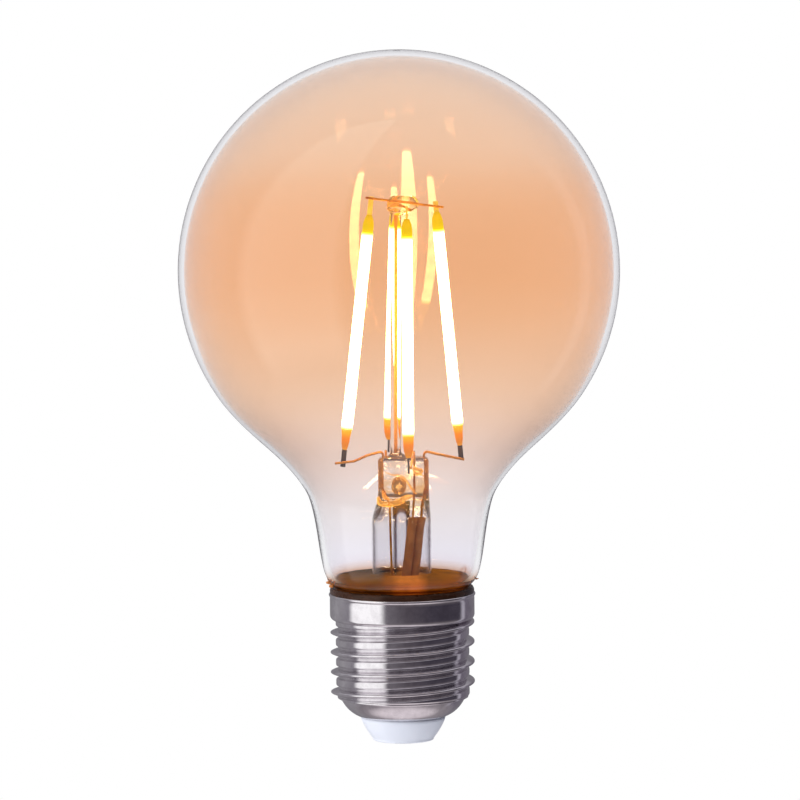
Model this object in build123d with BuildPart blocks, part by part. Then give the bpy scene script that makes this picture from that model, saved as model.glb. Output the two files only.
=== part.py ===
from build123d import *
from math import atan2, cos, degrees, radians, sin, sqrt
import os

# Vintage LED filament bulb with an 80 mm globe and a E27 screw cap.
# Millimetres, +Z up the bulb's axis, origin at the tip of the centre contact, front at -Y.

# Globe and neck
globe_r = 40.0
throat_z = 37.171
glass_wall = 1.1
throat_r = 15.15
throat_blend_r = 20.3
neck_low_r = 14.2
neck_low_z = 31.0
neck_end_r = 12.35
neck_end_z = 28.6
seal_z = 24.0

# Screw shell
sheet = 0.25
skirt_r = 13.15
rim_z = 27.3
skirt_low_z = 22.4
skirt_round = 0.9
root_r = 12.0
crest_r = 13.1
thread_pitch = 3.629
thread_phase_z = 7.37
thread_top_z = 23.9
crest_half_width = 0.42
flank_half_width = 0.95
crest_round = 0.34
ridge_root_depth = 0.12
runout_z = 8.45
bowl_r = 5.8
bowl_flat_r = 5.9
bowl_low_z = 4.35
bowl_top_z = 7.95

# Insulator and centre contact
throat_hole_r = 6.2
insulator_top_r = 7.75
insulator_low_r = 5.3
insulator_low_z = 0.25
insulator_edge_r = 0.4
insulator_lock_r = 6.9
insulator_lock_gap = 0.15
insulator_lock_h = 1.5
contact_r = 4.7
contact_flat_r = 3.4
contact_head_h = 0.5
contact_edge_h = 0.25
contact_clearance = 0.03
shank_r = 1.6
shank_top_z = 6.9

# Stem: flare, tube and press
stem_r = 5.44
stem_wall = 0.6
flare_z = 30.6
flare_edge_z = 29.9
flare_edge_r = 12.6
flare_wall = 0.9
flare_round = 1.2
shoulder_z = 40.0
press_low_z = 46.0
press_top_z = 52.4
press_x = 0.45
press_width = 9.25
press_depth = 4.4
press_round = 1.2
press_edge_round = 0.7
void_shoulder_z = 39.8
void_top_z = 44.6
void_top_width = 7.2
void_top_depth = 2.2
void_top_round = 0.9
bubble_r = 1.35
bubble_h = 3.6
bubble_x = -0.4
bubble_z = 47.2
vent_r = 0.7

# Exhaust tube
exhaust_r = 1.58
exhaust_wall = 0.5
exhaust_top_z = 45.6
exhaust_tip_z = 21.2
exhaust_tip_r = 0.45
exhaust_taper = 3.0

# Support rod and its bead
rod_r = 0.95
rod_low_x = -0.9
rod_top_x = -0.45
bead_x = 0.85
bead_rise = 5.0744
bead_length = 5.8
bead_r = 1.65
bead_end_round = 1.4

# Filament cage: foot circle, head circle and each filament's own height
cage_turn = 9.6
foot_circle_r = 10.2
head_circle_r = 6.5
side_pair_foot_x = 0.35
side_pair_head_x = 0.8
front_pair_foot_x = -0.3
front_pair_head_x = 0.4
lit_length = 35.3
lit_low_z = {"right": 58.0, "back": 58.4, "left": 57.8, "front": 57.3}
quarter = {"right": 0.0, "back": 90.0, "left": 180.0, "front": 270.0}
filament_r = 1.0
foot_coat = 4.0
head_coat = 3.4
coat_taper = 2.2
coat_end_r = 0.5
coat_round = 5.0
tab_width = 0.9
tab_thick = 0.24
foot_tab = {"right": 2.4, "back": 2.5, "left": 2.9, "front": 2.8}
head_tab = {"right": 1.9, "back": 1.9, "left": 3.3, "front": 2.3}

# Wires: the ones on the cage, then the leads through press and stem
# A spoke's waves are each a share of the way out and a height
wire_r = 0.21
weld_gap = 0.1
spoke_weld_z = 51.65
spoke_waves = {"left": [(0.33, 52.75), (0.6, 51.9)], "front": [(0.3, 52.9)], "right": [(0.3, 52.75)]}
spoke_past = {"right": 0.45, "back": 0.9, "left": 1.6, "front": 0.9}
top_weld_rise = {"right": 4.3506, "back": 4.6137, "left": 6.3441, "front": 5.0891}
top_wire_past = {"right": 1.3, "back": 0.9, "left": 1.1, "front": 0.9}
wire_bend = 0.6
lead_press_x = {"left": -3.2, "front": 2.42, "right": 4.2}
lead_stem = {"left": (-2.12, -0.5, 43.4), "front": (2.1, -1.6, 41.4), "right": (3.55, -0.6, 41.4)}
lead_foot = {"left": (-1.8, -0.75, 30.0), "front": (0.0, -3.1, 24.5), "right": (1.6, -2.3, 24.5)}
lead_board = {"left": (-2.2, -3.6), "front": (-0.3, -4.8), "right": (3.2, -3.6)}
lead_rise = 0.9
jumper_x = -2.7
jumper_y = 0.5
sleeve_r = 0.8
sleeve_wall = 0.5

# Cement
cement_clear = 0.1
cement_ring_r = 10.8
cement_floor_z = 27.0
cement_bead_r = 13.45
cement_bead_z = 29.6
cement_bead_low_z = 28.4

# Driver inside the cap
board_gap = 0.3
board_thick = 1.0
board_z = 17.2
capacitor_x = -5.0
capacitor_r = 3.15
capacitor_h = 8.6
capacitor_standoff = 0.3
capacitor_groove = 0.35
capacitor_pins = 2.5
fuse_x = 5.2
fuse_y = -1.5
fuse_r = 1.6
fuse_end_r = 1.75
fuse_end_h = 1.0
fuse_h = 6.5
fuse_top_z = 16.4
fuse_lead_z = 9.2
live_r = 0.65
live_bend = 0.9
live_turn_z = 8.0
pin_r = 0.25
pin_past = 0.6
joint_r = 0.8
joint_tip_r = 0.4
joint_h = 0.5
neutral_angle = 100.0
neutral_gap = 0.02
neutral_turn_z = 23.45
neutral_in_r = 11.0
neutral_in_z = 22.95
neutral_board_r = 9.8
rectifier = {"centre": (-6.6, 4.4), "angle": 35, "length": 4.7, "width": 3.9, "height": 2.5, "legs": 2}
control_chip = {"centre": (5.6, 4.6), "angle": -40, "length": 4.9, "width": 3.9, "height": 1.5, "legs": 4}
chip_chamfer = 0.2
leg_width = 0.45
leg_reach = 0.9
leg_thick = 0.2
resistor_places = [(0, 4.6), (-0.4, 7.4), (8.2, -3.2), (-7.8, -3.6)]
resistor_length = 2.0
resistor_width = 1.25
resistor_height = 0.5

os.makedirs("parts", exist_ok=True)


def finish(piece, name):
    """Label a finished piece and write its file."""
    piece.label = name
    export_step(piece, f"parts/{name}.step")


def round_wire(points, radius, bend):
    """A round wire of straight runs joined by bends."""
    with BuildPart() as wire:
        with BuildLine() as route:
            if len(points) > 2:
                FilletPolyline(*points, radius=bend)
            else:
                Line(*points)
        with BuildSketch(Plane(route.line @ 0, z_dir=route.line % 0)):
            Circle(radius)
        sweep()
    return wire.part


# Glass envelope: one outline from the crown to the sealed end, thickened inwards
throat_drop = sqrt((globe_r + throat_blend_r) ** 2 - (throat_r + throat_blend_r) ** 2)
globe_z = throat_z + throat_drop
blend_angle = degrees(atan2(-throat_drop, throat_r + throat_blend_r))

with BuildPart() as envelope:
    with BuildSketch(Plane.XZ):
        with BuildLine():
            CenterArc((0, globe_z), globe_r, 90, blend_angle - 90)
            throat_centre = (throat_r + throat_blend_r, throat_z)
            CenterArc(throat_centre, throat_blend_r, blend_angle + 180, -blend_angle)
            waist = TangentArc((throat_r, throat_z), (neck_low_r, neck_low_z), tangent=(0, -1))
            TangentArc(waist @ 1, (neck_end_r, neck_end_z), tangent=waist % 1)
            Line((neck_end_r, neck_end_z), (neck_end_r, seal_z))
            offset(amount=glass_wall, side=Side.RIGHT)
        make_face()
    revolve(axis=Axis.Z)
finish(envelope.part, "glass_envelope")


# Filament cage: each filament has its foot, its direction and its radial direction
def on_cage(name, radius, side_x, front_x):
    """A point of the foot or head circle, seen from above."""
    turn = radians(cage_turn + quarter[name])
    pair_x = side_x if name in ("left", "right") else front_x
    return pair_x + radius * cos(turn), radius * sin(turn)


def tangent_of(name):
    """The horizontal direction round the cage at a filament."""
    turn = radians(cage_turn + quarter[name])
    return Vector(-sin(turn), cos(turn), 0)


def filament_line(name):
    """Foot of the lit length, and the direction from foot to head."""
    foot_x, foot_y = on_cage(name, foot_circle_r, side_pair_foot_x, front_pair_foot_x)
    head_x, head_y = on_cage(name, head_circle_r, side_pair_head_x, front_pair_head_x)
    lean = Vector(head_x - foot_x, head_y - foot_y, 0)
    rise = sqrt(lit_length**2 - lean.length**2)
    foot = Vector(foot_x, foot_y, lit_low_z[name])
    return foot, Vector(lean.X, lean.Y, rise).normalized()


def lit_top_z(name):
    """Height of the top end of a filament's lit length."""
    foot, along = filament_line(name)
    return foot.Z + along.Z * lit_length


def weld_point(name, height):
    """Where a wire passes the flat of a filament's tab at a height."""
    foot, along = filament_line(name)
    beside = tab_thick / 2 + wire_r + weld_gap
    front_side = -1 if name == "right" else 1
    at_tab = foot + along * ((height - foot.Z) / along.Z)
    return at_tab + tangent_of(name) * beside * front_side


def make_coat(name):
    """The phosphor-coated strip: a round bar with tapered ends."""
    foot, along = filament_line(name)
    radial = tangent_of(name).cross(along).normalized()
    top = lit_length + head_coat
    with BuildPart() as coat:
        with BuildSketch(Plane(foot, x_dir=radial, z_dir=radial.cross(along))):
            with BuildLine():
                Polyline(
                    (0, -foot_coat),
                    (coat_end_r, -foot_coat),
                    (filament_r, -foot_coat + coat_taper),
                    (filament_r, top - coat_taper),
                    (coat_end_r, top),
                    (0, top),
                    close=True,
                )
            make_face()
            fillet(vertices().group_by(Axis.X)[-1], radius=coat_round)
        revolve(axis=Axis(foot, along))
    return coat.part


def make_tabs(name):
    """The two flat metal tabs that leave the coat's ends."""
    foot, along = filament_line(name)
    radial = tangent_of(name).cross(along).normalized()
    head_end = foot + along * (lit_length + head_coat)
    foot_end = foot - along * foot_coat
    with BuildPart() as tabs:
        with BuildSketch(Plane(head_end, x_dir=radial, z_dir=along)):
            Rectangle(tab_width, tab_thick)
        extrude(amount=head_tab[name])
        with BuildSketch(Plane(foot_end, x_dir=radial, z_dir=-along)):
            Rectangle(tab_width, tab_thick)
        extrude(amount=foot_tab[name])
    return tabs.part


for place in quarter:
    finish(make_coat(place), f"filament_{place}")
    finish(make_tabs(place), f"filament_tabs_{place}")


# Top wires: one straight wire for each pair, through the bead
def top_wire(start, end):
    """A straight wire past the heads of two opposite filaments."""
    first = weld_point(start, lit_top_z(start) + top_weld_rise[start])
    last = weld_point(end, lit_top_z(end) + top_weld_rise[end])
    along = (last - first).normalized()
    ends = (first - along * top_wire_past[start], last + along * top_wire_past[end])
    return round_wire(ends, wire_r, wire_bend)


side_wire = top_wire("left", "right")
front_wire = top_wire("front", "back")
finish(side_wire, "top_wire_side")
finish(front_wire, "top_wire_front")

# Support rod with the glass bead melted round the top wires
bead_z = bead_rise + sum(lit_top_z(name) for name in quarter) / len(quarter)
with BuildPart() as rod:
    with BuildSketch(Plane.YZ.offset(bead_x - bead_length / 2)):
        with Locations((0, bead_z)):
            Circle(bead_r)
    extrude(amount=bead_length)
    fillet(edges(), radius=bead_end_round)
    with BuildSketch(Plane.XY.offset(press_top_z)):
        with Locations((rod_low_x, 0)):
            Circle(rod_r)
    with BuildSketch(Plane.XY.offset(bead_z)):
        with Locations((rod_top_x, 0)):
            Circle(rod_r)
    loft()
    add(side_wire, mode=Mode.SUBTRACT)
    add(front_wire, mode=Mode.SUBTRACT)
finish(rod.part, "support_rod")


# Lead-in wires: board, stem, press, and out as a spoke to the foot of a filament
def spoke_end(name, start):
    """The end of a spoke, a little past the tab that it is welded to."""
    weld = weld_point(name, spoke_weld_z)
    outward = Vector(weld.X - start[0], weld.Y - start[1], 0).normalized()
    return weld + outward * spoke_past[name]


def between(start, end, share, height):
    """A point part of the way from start to end, seen from above, at a height."""
    return (start[0] + share * (end.X - start[0]), start[1] + share * (end.Y - start[1]), height)


def lead_route(name):
    """The points of a lead from under the board to its spoke's end."""
    board_x, board_y = lead_board[name]
    top = (lead_press_x[name], 0, press_top_z + lead_rise)
    end = spoke_end(name, top)
    points = [
        (board_x, board_y, board_z - pin_past),
        (board_x, board_y, board_z + board_thick + pin_past),
        lead_foot[name],
        lead_stem[name],
        (lead_press_x[name], 0, press_low_z + lead_rise),
        top,
    ]
    points += [between(top, end, share, height) for share, height in spoke_waves[name]]
    return points + [tuple(end)]


left_lead = round_wire(lead_route("left"), wire_r, wire_bend)
front_lead = round_wire(lead_route("front"), wire_r, wire_bend)
right_lead = round_wire(lead_route("right"), wire_r, wire_bend)
finish(left_lead, "lead_wire_left")
finish(front_lead, "lead_wire_front")
finish(right_lead, "lead_wire_right")

jumper_top = (jumper_x, jumper_y, press_top_z + lead_rise)
jumper_route = [(jumper_x, jumper_y, press_top_z), jumper_top, tuple(spoke_end("back", jumper_top))]
finish(round_wire(jumper_route, wire_r, wire_bend), "back_jumper_wire")


# Brown sleeves over the two leads on the right, inside the stem
def make_sleeve(name, lead):
    """A thin tube along the straight run of a lead inside the stem."""
    with BuildPart() as sleeve:
        with BuildLine() as run:
            Line(lead_stem[name], lead_foot[name])
        with BuildSketch(Plane(run.line @ 0, z_dir=run.line % 0)):
            Circle(sleeve_r)
            Circle(sleeve_r - sleeve_wall, mode=Mode.SUBTRACT)
        sweep()
        add(lead, mode=Mode.SUBTRACT)
    return sleeve.part


front_sleeve = make_sleeve("front", front_lead)
right_sleeve = make_sleeve("right", right_lead)
finish(front_sleeve, "lead_sleeve_front")
finish(right_sleeve, "lead_sleeve_right")

# Exhaust tube, drawn off to a sealed tip below the flare
with BuildPart() as exhaust:
    taper_z = exhaust_tip_z + exhaust_taper
    bore_r = exhaust_r - exhaust_wall
    with BuildSketch(Plane.XZ):
        with BuildLine():
            Polyline(
                (0, exhaust_tip_z),
                (exhaust_tip_r, exhaust_tip_z),
                (exhaust_r, taper_z),
                (exhaust_r, exhaust_top_z),
                (bore_r, exhaust_top_z),
                (bore_r, taper_z),
                (0, exhaust_tip_z + exhaust_taper / 2),
                close=True,
            )
        make_face()
    revolve(axis=Axis.Z)
finish(exhaust.part, "exhaust_tube")

# Glass stem: flare and tube turned, shoulder lofted down to the flat press
with BuildPart() as stem:
    with BuildSketch(Plane.XZ):
        with BuildLine():
            Polyline(
                (0, flare_z - flare_wall),
                (stem_r, flare_z - flare_wall),
                (flare_edge_r, flare_edge_z - flare_wall),
                (flare_edge_r, flare_edge_z),
                (stem_r, flare_z),
                (stem_r, shoulder_z),
                (0, shoulder_z),
                close=True,
            )
        make_face()
        fillet(vertices().sort_by_distance((stem_r, flare_z))[0], radius=flare_round)
    revolve(axis=Axis.Z)
    with BuildSketch(Plane.XY.offset(shoulder_z)):
        Circle(stem_r)
    with BuildSketch(Plane.XY.offset(press_low_z)):
        with Locations((press_x, 0)):
            RectangleRounded(press_width, press_depth, press_round)
    loft()
    with BuildSketch(Plane.XY.offset(press_low_z)):
        with Locations((press_x, 0)):
            RectangleRounded(press_width, press_depth, press_round)
    extrude(amount=press_top_z - press_low_z)
    fillet(edges().group_by(Axis.Z)[-1], radius=press_edge_round)
    with BuildSketch(Plane.XY.offset(flare_z - flare_wall)):
        Circle(stem_r - stem_wall)
    extrude(amount=void_shoulder_z - flare_z + flare_wall, mode=Mode.SUBTRACT)
    with BuildSketch(Plane.XY.offset(void_shoulder_z)):
        Circle(stem_r - stem_wall)
    with BuildSketch(Plane.XY.offset(void_top_z)):
        with Locations((press_x, 0)):
            RectangleRounded(void_top_width, void_top_depth, void_top_round)
    loft(mode=Mode.SUBTRACT)
    with BuildSketch(Plane.XY.offset(void_top_z)):
        Circle(exhaust_r - exhaust_wall)
    extrude(amount=bubble_z - bubble_h / 4 - void_top_z, mode=Mode.SUBTRACT)
    with BuildSketch(Plane.XZ):
        with Locations((bubble_x, bubble_z)):
            Ellipse(bubble_r, bubble_h / 2)
            Rectangle(bubble_r, bubble_h, align=(Align.MAX, Align.CENTER), mode=Mode.SUBTRACT)
    revolve(axis=Axis((bubble_x, 0, 0), (0, 0, 1)), mode=Mode.SUBTRACT)
    with BuildSketch(Plane.XZ):
        with Locations((bubble_x, bubble_z)):
            Circle(vent_r)
    extrude(amount=-press_depth, mode=Mode.SUBTRACT)
    for inner in (envelope.part, exhaust.part, left_lead, front_lead, right_lead):
        add(inner, mode=Mode.SUBTRACT)
finish(stem.part, "glass_stem")

# Screw shell: a turned wall, the ridge of the thread laid on it and its groove cut from inside
def thread_ridge(inset):
    """The helical ridge of the thread, inset by a wall, cut flat where it runs out."""
    base_r = root_r - inset - ridge_root_depth
    flank_slope = (flank_half_width - crest_half_width) / (crest_r - root_r)
    base_half_width = flank_half_width + flank_slope * ridge_root_depth - inset
    start_z = thread_phase_z - thread_pitch
    with BuildPart() as ridge:
        with BuildLine():
            Helix(thread_pitch, thread_top_z - start_z, base_r, center=(0, 0, start_z))
        with BuildSketch(Plane.XZ):
            with BuildLine():
                Polyline(
                    (base_r, start_z - base_half_width),
                    (crest_r - inset, start_z - crest_half_width + inset),
                    (crest_r - inset, start_z + crest_half_width - inset),
                    (base_r, start_z + base_half_width),
                    close=True,
                )
            make_face()
            fillet(vertices().group_by(Axis.X)[-1], radius=crest_round * (1 - inset / crest_half_width))
        sweep(is_frenet=True)
        split(bisect_by=Plane.XY.offset(runout_z + inset), keep=Keep.TOP)
        split(bisect_by=Plane.XY.offset(skirt_low_z + sheet - inset), keep=Keep.BOTTOM)
    return ridge.part


with BuildPart() as shell:
    with BuildSketch(Plane.YZ):
        with BuildLine():
            bowl_centre_z = bowl_low_z + bowl_r
            bowl_angle = degrees(atan2(bowl_top_z - bowl_centre_z, bowl_r))
            Line((0, bowl_low_z), (bowl_flat_r, bowl_low_z))
            bowl = CenterArc((bowl_flat_r, bowl_centre_z), bowl_r, -90, 90 + bowl_angle)
            Polyline(
                bowl @ 1,
                (root_r, (bowl @ 1).Y),
                (root_r, skirt_low_z),
                (skirt_r - skirt_round, skirt_low_z),
            )
            CenterArc((skirt_r - skirt_round, skirt_low_z + skirt_round), skirt_round, -90, 90)
            Line((skirt_r, skirt_low_z + skirt_round), (skirt_r, rim_z))
            offset(amount=sheet, side=Side.LEFT)
        make_face()
    revolve(axis=Axis.Z)
    add(thread_ridge(0))
    add(thread_ridge(sheet), mode=Mode.SUBTRACT)
    with BuildSketch(Plane.XY):
        Circle(throat_hole_r)
    extrude(amount=bowl_low_z + 2 * sheet, mode=Mode.SUBTRACT)
finish(shell.part, "screw_shell")

# Insulator, locked through the hole in the shell's bottom
with BuildPart() as insulator:
    with BuildSketch(Plane.XZ):
        with BuildLine():
            lock_z = bowl_low_z + sheet + insulator_lock_gap
            Polyline(
                (shank_r, contact_head_h),
                (contact_r + contact_clearance, contact_head_h),
                (contact_r + contact_clearance, insulator_low_z),
                (insulator_low_r, insulator_low_z),
                (insulator_top_r, bowl_low_z),
                (throat_hole_r, bowl_low_z),
                (throat_hole_r, lock_z),
                (insulator_lock_r, lock_z),
                (insulator_lock_r, lock_z + insulator_lock_h),
                (shank_r, lock_z + insulator_lock_h),
                close=True,
            )
        make_face()
        corner = vertices().sort_by_distance((insulator_low_r, insulator_low_z))[0]
        fillet(corner, radius=insulator_edge_r)
    revolve(axis=Axis.Z)
finish(insulator.part, "cap_insulator")

# Centre contact: a domed head with its shank through the insulator
with BuildPart() as contact:
    with BuildSketch(Plane.XZ):
        with BuildLine():
            Polyline(
                (0, 0),
                (contact_flat_r, 0),
                (contact_r, contact_edge_h),
                (contact_r, contact_head_h),
                (shank_r, contact_head_h),
                (shank_r, shank_top_z),
                (0, shank_top_z),
                close=True,
            )
        make_face()
    revolve(axis=Axis.Z)
finish(contact.part, "centre_contact")

# Driver: board, what it carries, and its two supply wires
board_top_z = board_z + board_thick
board_r = root_r - sheet - board_gap
pin_top_z = board_top_z + pin_past
neutral_x = cos(radians(neutral_angle))
neutral_y = sin(radians(neutral_angle))
neutral_rim_r = skirt_r - sheet - neutral_gap - wire_r
neutral_route = [
    (neutral_board_r * neutral_x, neutral_board_r * neutral_y, board_z - pin_past),
    (neutral_board_r * neutral_x, neutral_board_r * neutral_y, board_top_z + 2 * pin_past),
    (neutral_in_r * neutral_x, neutral_in_r * neutral_y, neutral_in_z),
    (neutral_rim_r * neutral_x, neutral_rim_r * neutral_y, neutral_turn_z),
    (neutral_rim_r * neutral_x, neutral_rim_r * neutral_y, rim_z),
]
neutral = round_wire(neutral_route, wire_r, wire_bend)
finish(neutral, "neutral_wire")

live_route = [
    (0, 0, shank_top_z),
    (0, 0, live_turn_z),
    (fuse_x, fuse_y, live_turn_z),
    (fuse_x, fuse_y, fuse_lead_z),
]
finish(round_wire(live_route, live_r, live_bend), "live_wire")

with BuildPart() as capacitor:
    can_top_z = board_z - capacitor_standoff
    with BuildSketch(Plane.XY.offset(can_top_z)):
        with Locations((capacitor_x, 0)):
            Circle(capacitor_r)
    extrude(amount=-capacitor_h)
    fillet(edges(), radius=capacitor_groove)
    with BuildSketch(Plane.XY.offset(can_top_z - 3 * capacitor_groove)):
        with Locations((capacitor_x, 0)):
            Circle(capacitor_r)
            Circle(capacitor_r - capacitor_groove, mode=Mode.SUBTRACT)
    extrude(amount=-2 * capacitor_groove, mode=Mode.SUBTRACT)
    with BuildSketch(Plane.XY.offset(can_top_z)):
        with Locations((capacitor_x, 0)):
            with GridLocations(0, capacitor_pins, 1, 2):
                Circle(pin_r)
    extrude(amount=pin_top_z - can_top_z)
finish(capacitor.part, "smoothing_capacitor")

with BuildPart() as fuse:
    fuse_low_z = fuse_top_z - fuse_h
    with BuildSketch(Plane.XY.offset(fuse_low_z)):
        with Locations((fuse_x, fuse_y)):
            Circle(fuse_r)
    extrude(amount=fuse_h)
    for end_z in (fuse_low_z, fuse_top_z - fuse_end_h):
        with BuildSketch(Plane.XY.offset(end_z)):
            with Locations((fuse_x, fuse_y)):
                Circle(fuse_end_r)
        extrude(amount=fuse_end_h)
    with BuildSketch(Plane.XY.offset(fuse_lead_z)):
        with Locations((fuse_x, fuse_y)):
            Circle(pin_r)
    extrude(amount=pin_top_z - fuse_lead_z)
finish(fuse.part, "fuse_resistor")


def make_chip(centre, angle, length, width, height, legs):
    """A moulded chip with flat legs along its two long sides, standing on the board."""
    seat = Plane((centre[0], centre[1], board_top_z), x_dir=Vector(1, 0, 0).rotate(Axis.Z, angle))
    with BuildPart(seat) as chip:
        Box(length, width, height, align=(Align.CENTER, Align.CENTER, Align.MIN))
        chamfer(edges().group_by(Axis.Z)[-1], length=chip_chamfer)
        with GridLocations(length / legs, width, legs, 2):
            Box(leg_width, 2 * leg_reach, leg_thick, align=(Align.CENTER, Align.CENTER, Align.MIN))
    return chip.part


finish(make_chip(**rectifier), "bridge_rectifier")
finish(make_chip(**control_chip), "driver_ic")

with BuildPart(Plane.XY.offset(board_top_z)) as resistors:
    with Locations(*resistor_places):
        Box(resistor_length, resistor_width, resistor_height, align=(Align.CENTER, Align.CENTER, Align.MIN))
finish(resistors.part, "chip_resistors")

with BuildPart() as board:
    with BuildSketch(Plane.XY.offset(board_z)):
        Circle(board_r)
    extrude(amount=board_thick)
    for pin in (left_lead, front_lead, right_lead, neutral, capacitor.part, fuse.part):
        add(pin, mode=Mode.SUBTRACT)
finish(board.part, "driver_board")

# Solder joints: leads under the board, pins above it
leads_below = [*lead_board.values(), (neutral_route[0][0], neutral_route[0][1])]
pins_above = [(capacitor_x, capacitor_pins / 2), (capacitor_x, -capacitor_pins / 2), (fuse_x, fuse_y)]
with BuildPart() as joints:
    with Locations(*[(x, y, board_z) for x, y in leads_below]):
        Cone(joint_tip_r, joint_r, joint_h, align=(Align.CENTER, Align.CENTER, Align.MAX))
    with Locations(*[(x, y, board_top_z) for x, y in pins_above]):
        Cone(joint_r, joint_tip_r, joint_h, align=(Align.CENTER, Align.CENTER, Align.MIN))
    for pin in (left_lead, front_lead, right_lead, neutral, capacitor.part, fuse.part):
        add(pin, mode=Mode.SUBTRACT)
finish(joints.part, "solder_joints")

# Cement: a ring round the neck's end, a floor under the flare and a bead above the rim
with BuildPart() as cement:
    shell_inner_r = skirt_r - sheet
    flare_middle = flare_wall / 2
    cement_low_z = skirt_low_z + skirt_round + cement_clear
    with BuildSketch(Plane.XZ):
        with BuildLine():
            Polyline(
                (stem_r - stem_wall, cement_floor_z),
                (cement_ring_r, cement_floor_z),
                (cement_ring_r, cement_low_z),
                (shell_inner_r, cement_low_z),
                (shell_inner_r, rim_z),
                (skirt_r, rim_z),
                (cement_bead_r, cement_bead_low_z),
                (cement_bead_r, cement_bead_z),
                (flare_edge_r, flare_edge_z - flare_middle),
                (stem_r - stem_wall, flare_z - flare_middle),
                close=True,
            )
        make_face()
    revolve(axis=Axis.Z)
    for inner in (envelope.part, stem.part, neutral):
        add(inner, mode=Mode.SUBTRACT)
finish(cement.part, "basing_cement")
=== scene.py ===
import math

import bmesh
import bpy
from mathutils import Matrix, Vector, noise

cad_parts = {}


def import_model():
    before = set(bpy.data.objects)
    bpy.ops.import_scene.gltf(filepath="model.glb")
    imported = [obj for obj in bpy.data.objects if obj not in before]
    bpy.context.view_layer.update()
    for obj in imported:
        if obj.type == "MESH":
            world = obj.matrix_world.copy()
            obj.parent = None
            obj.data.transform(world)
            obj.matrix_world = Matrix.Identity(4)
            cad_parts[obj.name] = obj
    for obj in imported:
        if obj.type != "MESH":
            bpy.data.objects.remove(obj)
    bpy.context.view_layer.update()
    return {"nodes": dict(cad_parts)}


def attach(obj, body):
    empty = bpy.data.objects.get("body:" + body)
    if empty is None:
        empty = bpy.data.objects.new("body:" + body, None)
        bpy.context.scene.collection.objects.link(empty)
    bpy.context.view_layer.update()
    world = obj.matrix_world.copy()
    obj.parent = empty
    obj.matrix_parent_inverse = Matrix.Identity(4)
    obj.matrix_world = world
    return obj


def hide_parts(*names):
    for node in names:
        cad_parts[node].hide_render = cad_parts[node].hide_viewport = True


# Vintage LED bulb, dressed for the photograph's view.
# Sizes are in millimetres and become metres in the meshes.

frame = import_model()
MM = 0.001

# Corners in each ring of the large turned pieces
FINE_COUNT = 192

# The photograph's view: millimetres for a pixel at the bulb's axis, and where the view is centred
PHOTO_SIDE = 800
PIXEL = 0.1813
VIEW_RISE = 6.0
VIEW_ROLL = 0.57
VIEW_CENTRE = (-0.03, 0.0, 62.4)
CAMERA_FAR = 1400.0
SENSOR = 36.0

# Globe and neck, as in the CAD
GLOBE_R = 40.0
GLOBE_Z = 85.95
GLASS_WALL = 1.1
THROAT_R = 15.15
THROAT_BLEND_R = 20.3
NECK_LOW = (14.2, 31.0)
NECK_END = (12.35, 28.6)
SEAL_Z = 24.0
THROAT_WALL = 0.75
THROAT_THIN_Z = 52.0
THROAT_THIN_REACH = (4.0, 22.0)
SMUDGE = (11.2, -8.9, 32.1)
SMUDGE_REACH = 1.5

# Where the globe's outline changes its curve: rounds of easing, and how far from there it works
EASE_ROUNDS = 60
EASE_REACH = (3.0, 9.0)

# Screw shell; a groove lies on each side of the thread's crest
SKIRT_R = 13.15
RIM_Z = 27.3
RIM_ROUND = 0.3
SKIRT_LOW_Z = 22.4
SKIRT_ROUND = 0.9
ROOT_R = 12.0
CREST_R = 13.1
PITCH = 3.629
CREST_Z = 7.37
RUNOUT_Z = 8.45
RUNOUT_HALF = 0.12
ROOT_FULL_R = 12.14
GROOVE = 0.52
GROOVE_AWAY = 0.235
GROOVE_WIDTH = 0.075
BOWL_R = 5.8
BOWL_FLAT_R = 5.9
BOWL_LOW_Z = 4.35
BOWL_TOP_Z = 7.95

# Insulator: its cone from (radius, height) to (radius, height)
INSULATOR_TOP = (7.72, 4.30)
INSULATOR_LOW = (5.55, 0.6)
INSULATOR_BULGE = 0.18

# Stem: flare, tube, press, rod, bead and exhaust tube
STEM_R = 5.44
STEM_WALL = 0.48
FLARE_Z = 30.6
FLARE_EDGE = (12.6, 29.9)
FLARE_WALL = 0.9
FLARE_FILLET = 0.45
STAIN_RISE = 0.35
SHOULDER_Z = 40.0
PRESS_LOW_Z = 46.0
PRESS_TOP_Z = 52.4
PRESS_X = 0.45
PRESS_HALF = (4.625, 2.2)
PRESS_CROWN = 0.7
PRESS_ROUND = 0.9
PRESS_POWER = 5.2
BORE_ROOF = (3.6, 1.1, 44.6)
BUBBLE = (-0.4, 47.2)
BUBBLE_HALF = (1.35, 1.8)
ROD_R = 0.95
ROD_FOOT = 0.9
# Radius of the painted light line down the rod
ROD_LIGHT_LINE_R = 0.29
ROD_LOW_X = -0.9
ROD_TOP_X = -0.45
ROD_END = 0.5
BEAD = (0.85, 98.05)
BEAD_HALF = (2.9, 1.65)
BEAD_NECK = (1.9, 0.95)
BEAD_NECK_RISE = 0.75
BEAD_LEAN = 0.5
BEAD_POWER = 2.4
EXHAUST_R = 1.58
EXHAUST_BORE_R = 1.08
EXHAUST_TOP_Z = 44.2
EXHAUST_LOW_Z = 24.2

# Crumbs of cement: middle and half sizes
CRUMBS = [
    ((-13.15, -1.2, 29.3), (0.55, 0.5, 0.30)),
    ((-12.75, -2.6, 28.85), (0.50, 0.5, 0.28)),
    ((-13.35, -0.4, 29.85), (0.22, 0.4, 0.22)),
    ((13.45, -1.0, 29.75), (0.45, 0.4, 0.12)),
]

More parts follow.
